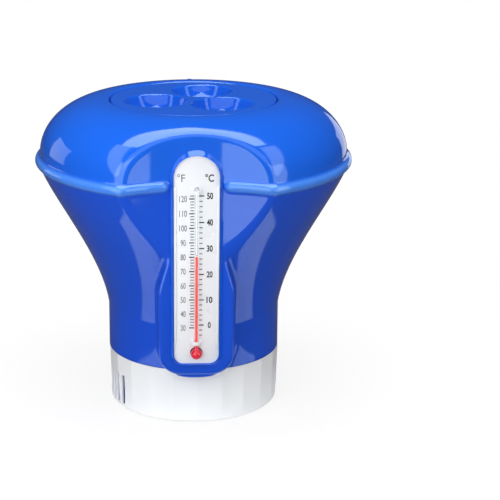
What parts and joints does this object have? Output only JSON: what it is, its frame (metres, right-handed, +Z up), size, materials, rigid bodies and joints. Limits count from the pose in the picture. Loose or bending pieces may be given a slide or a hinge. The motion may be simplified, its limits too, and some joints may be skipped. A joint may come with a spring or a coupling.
{
  "type": "floating chlorine dispenser",
  "caption": "Mushroom-shaped floating dispenser for pool tablets, with a twist-off lid, a turning vent ring and a thermometer set in its scooped front.",
  "frame": {"origin": "middle of the flat base, on the surface that the part stands on", "axes": "+Z up along the part's axis; -Y is the front, where the thermometer is; +X is right as seen from the front"},
  "size_m": [0.178, 0.1689, 0.1756],
  "materials": {
    "shell_blue": "glossy moulded polypropylene",
    "inner_blue": "satin moulded polypropylene",
    "ring_white": "satin moulded polypropylene",
    "plate_white": "satin printed styrene",
    "seal_rubber": "matt moulded rubber",
    "clear_glass": "clear drawn glass",
    "red_spirit": "dyed spirit seen through glass"
  },
  "bodies": {
    "body": {"upper_shell": "shell_blue", "lower_shell": "shell_blue", "chamber_tube": "inner_blue", "base_grille": "inner_blue", "scale_plate": "plate_white", "glass_tube": "clear_glass", "spirit_fill": "red_spirit", "lower_tube_strap": "ring_white", "upper_tube_strap": "ring_white"},
    "vent_ring": {"vent_ring": "ring_white"},
    "lid_seal": {"lid_seal": "seal_rubber"},
    "lid": {"lid": "shell_blue"}
  },
  "joints": [
    {"name": "vent_ring_turn", "type": "hinge", "parent": "body", "child": "vent_ring", "pos_m": [0, 0, 0.016], "axis": [0, 0, 1], "range_deg": [0, 49]},
    {"name": "lid_lift", "type": "slide", "parent": "body", "child": "lid_seal", "axis": [0, 0, 1], "range_m": [0, 0.072]},
    {"name": "lid_turn", "type": "hinge", "parent": "lid_seal", "child": "lid", "pos_m": [0, 0, 0.17], "axis": [0, 0, 1], "range_deg": [0, 360]}
  ],
  "couplings": [
    {"joint": "lid_lift", "follows": "lid_turn", "m_per_rad": 0.011459}
  ]
}
